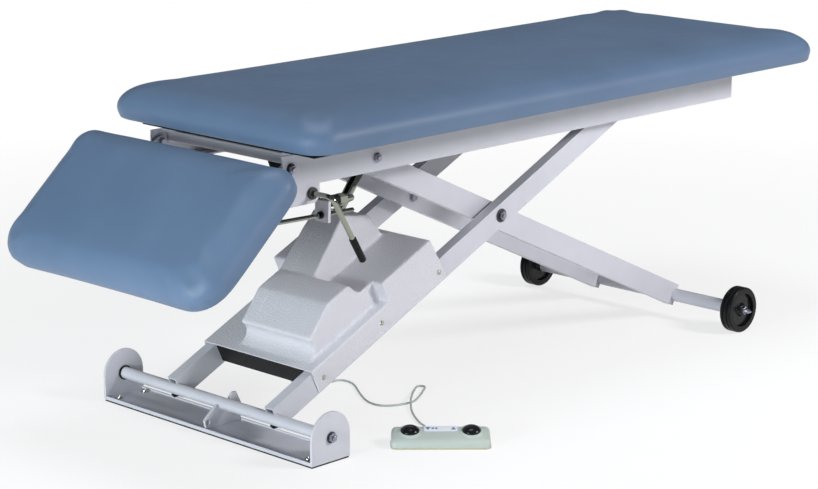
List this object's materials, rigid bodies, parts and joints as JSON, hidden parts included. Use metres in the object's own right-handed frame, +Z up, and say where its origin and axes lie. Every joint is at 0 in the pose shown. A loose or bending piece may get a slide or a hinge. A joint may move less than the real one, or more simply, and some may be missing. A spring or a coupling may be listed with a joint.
{
  "type": "treatment table",
  "caption": "Powered examination table with a scissor lift, a motor cover, a foot pedal on a cord, and a padded top whose head section drops.",
  "frame": {"origin": "on the floor under the base pivot tube, on the centre plane, at the underside of the base's rubber pad", "axes": "+Z up, +X from the base plate towards the wheels along the table's length, -Y the side with the pedal and release lever"},
  "size_m": [2.0683, 0.8905, 0.73],
  "materials": {
    "pale_paint": "satin powder coat",
    "bright_steel": "zinc plated",
    "chrome": "polished",
    "dark_steel": "satin black",
    "black_plastic": "moulded",
    "rubber": "matt",
    "tyre": "matt",
    "cover_plastic": "moulded",
    "upholstery": "coated vinyl",
    "wood": "black board",
    "pedal_plastic": "moulded",
    "cord_grey": "matt"
  },
  "bodies": {
    "table_base": {"foot_plate": "pale_paint", "foot_pad": "rubber", "centre_saddle": "pale_paint", "pivot_bolt_near": "bright_steel", "pivot_bolt_far": "bright_steel", "pedal_housing": "pedal_plastic", "foot_cord": "cord_grey"},
    "outer_arms": {"pivot_tube": "pale_paint", "outer_arm_near": "pale_paint", "outer_arm_far": "pale_paint", "scissor_bolt_near": "bright_steel", "scissor_bolt_far": "bright_steel", "roller_pin_near": "bright_steel", "roller_pin_far": "bright_steel", "front_cross_plate": "dark_steel", "motor_cover": "cover_plastic", "control_box": "black_plastic", "cord_gland": "rubber", "actuator_crossbar": "dark_steel", "actuator_body": "dark_steel", "actuator_motor": "dark_steel"},
    "actuator_rod": {"actuator_rod": "bright_steel"},
    "roller_near": {"roller_near": "black_plastic"},
    "roller_far": {"roller_far": "black_plastic"},
    "inner_arms": {"inner_arm_near": "pale_paint", "inner_arm_far": "pale_paint", "lift_lever": "pale_paint", "axle_tube": "pale_paint", "axle_bolt_near": "bright_steel", "axle_bolt_far": "bright_steel"},
    "wheel_near": {"wheel_near_tyre": "tyre", "wheel_near_hub": "black_plastic"},
    "wheel_far": {"wheel_far_tyre": "tyre", "wheel_far_hub": "black_plastic"},
    "top_frame": {"rail_near": "pale_paint", "rail_far": "pale_paint", "front_crossbar": "pale_paint", "middle_crossbar": "pale_paint", "rear_crossbar": "pale_paint", "top_pivot_bolt_near": "bright_steel", "top_pivot_bolt_far": "bright_steel", "hinge_bolt_near": "bright_steel", "hinge_bolt_far": "bright_steel", "lever_bush": "pale_paint", "lock_bracket": "dark_steel", "top_board": "wood", "main_cushion": "upholstery"},
    "drop_section": {"drop_board": "wood", "drop_cushion": "upholstery", "drop_arm_near": "pale_paint", "drop_arm_far": "pale_paint", "rod_bracket": "pale_paint"},
    "support_rod": {"support_rod": "chrome"},
    "rod_lock": {"lock_housing": "dark_steel", "clamp_plate": "pale_paint"},
    "release_lever": {"lever_rod": "pale_paint", "lever_grip": "rubber", "lever_cam": "dark_steel"},
    "button_down": {"button_down": "black_plastic"},
    "button_up": {"button_up": "black_plastic"}
  },
  "joints": [
    {"name": "lift", "type": "hinge", "parent": "table_base", "child": "outer_arms", "pos_m": [0, 0, 0.0574], "axis": [0, -1, 0], "range_deg": [-9.5, 10.9], "deforming": ["foot_cord"]},
    {"name": "scissor_pivot", "type": "hinge", "parent": "outer_arms", "child": "inner_arms", "pos_m": [0.71145, 0, 0.38915], "axis": [0, -1, 0], "range_deg": [-22, 19.2]},
    {"name": "top_pivot", "type": "hinge", "parent": "inner_arms", "child": "top_frame", "pos_m": [0.26736, 0, 0.59624], "axis": [0, -1, 0], "range_deg": [-9.7, 11.1]},
    {"name": "actuator_extend", "type": "slide", "parent": "outer_arms", "child": "actuator_rod", "axis": [0.6268, 0, 0.7792], "range_m": [-0.09998, 0.11464]},
    {"name": "wheel_near_spin", "type": "hinge", "parent": "inner_arms", "child": "wheel_near", "pos_m": [1.4229, -0.333, 0.0574], "axis": [0, -1, 0], "continuous": true},
    {"name": "wheel_far_spin", "type": "hinge", "parent": "inner_arms", "child": "wheel_far", "pos_m": [1.4229, 0.333, 0.0574], "axis": [0, -1, 0], "continuous": true},
    {"name": "roller_near_spin", "type": "hinge", "parent": "outer_arms", "child": "roller_near", "pos_m": [1.15554, -0.193, 0.59624], "axis": [0, -1, 0], "continuous": true},
    {"name": "roller_far_spin", "type": "hinge", "parent": "outer_arms", "child": "roller_far", "pos_m": [1.15554, 0.193, 0.59624], "axis": [0, -1, 0], "continuous": true},
    {"name": "drop_hinge", "type": "hinge", "parent": "top_frame", "child": "drop_section", "pos_m": [0.0149, 0, 0.608], "axis": [0, -1, 0], "range_deg": [-42, 18]},
    {"name": "rod_pivot", "type": "hinge", "parent": "drop_section", "child": "support_rod", "pos_m": [-0.13031, -0.15, 0.48532], "axis": [0, -1, 0], "range_deg": [-9.92, 22.88]},
    {"name": "lock_swing", "type": "hinge", "parent": "top_frame", "child": "rod_lock", "pos_m": [0.185, -0.15, 0.503], "axis": [0, -1, 0], "range_deg": [-19.52, 8.48]},
    {"name": "lever_turn", "type": "hinge", "parent": "top_frame", "child": "release_lever", "pos_m": [0.074, 0, 0.548], "axis": [0, -1, 0], "range_deg": [0, 30], "stiffness_Nm_per_rad": 1.5, "springref_deg": -17.19},
    {"name": "button_down_press", "type": "slide", "parent": "table_base", "child": "button_down", "axis": [0.1764, 0.1764, -0.9684], "range_m": [0, 0.003], "stiffness_N_per_m": 800, "springref_m": -0.002},
    {"name": "button_up_press", "type": "slide", "parent": "table_base", "child": "button_up", "axis": [0.1764, 0.1764, -0.9684], "range_m": [0, 0.003], "stiffness_N_per_m": 800, "springref_m": -0.002}
  ],
  "couplings": [
    {"joint": "scissor_pivot", "follows": "lift", "ratio": -2},
    {"joint": "top_pivot", "follows": "lift", "ratio": 1},
    {"joint": "actuator_extend", "follows": "lift", "m_per_rad": 0.6},
    {"joint": "rod_pivot", "follows": "drop_hinge", "ratio": -0.5399},
    {"joint": "lock_swing", "follows": "drop_hinge", "ratio": 0.4601}
  ]
}
